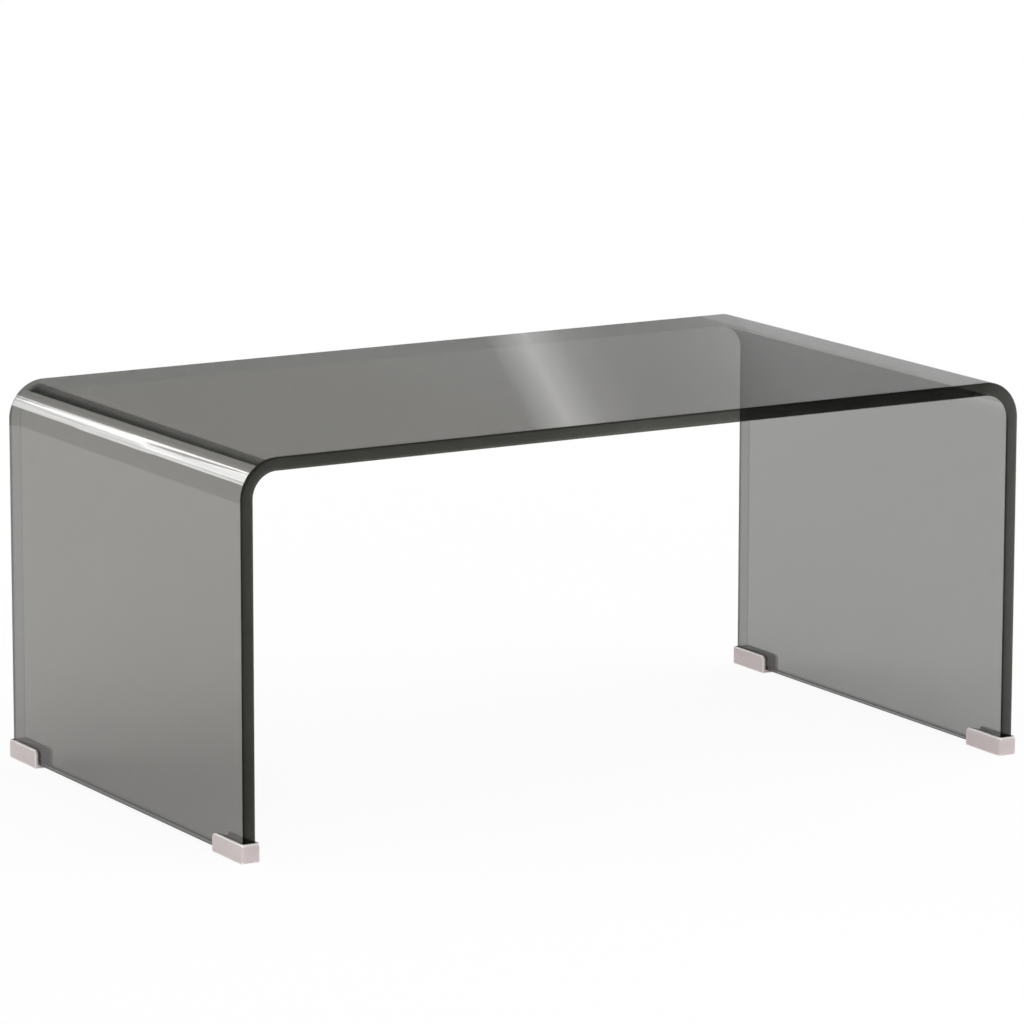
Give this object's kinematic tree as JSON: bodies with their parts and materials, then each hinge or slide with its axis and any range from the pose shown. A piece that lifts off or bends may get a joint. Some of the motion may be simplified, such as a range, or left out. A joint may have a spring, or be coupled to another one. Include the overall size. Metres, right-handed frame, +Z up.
{
  "type": "waterfall coffee table",
  "caption": "Low waterfall coffee table of smoked glass, bent as a continuous sheet from leg to top to leg, standing on soft translucent caps pressed over its corners.",
  "frame": {"origin": "on the floor under the middle of the table", "axes": "+X along the table's length, +Y from front to back, +Z up"},
  "size_m": [0.8062, 0.4562, 0.35],
  "materials": {
    "smoked_glass": "smoked grey, polished",
    "foot_cap": "soft translucent satin"
  },
  "bodies": {
    "root": {"bent_glass_sheet": "smoked_glass", "foot_cap_front_left": "foot_cap", "foot_cap_front_right": "foot_cap", "foot_cap_back_left": "foot_cap", "foot_cap_back_right": "foot_cap"}
  },
  "joints": []
}
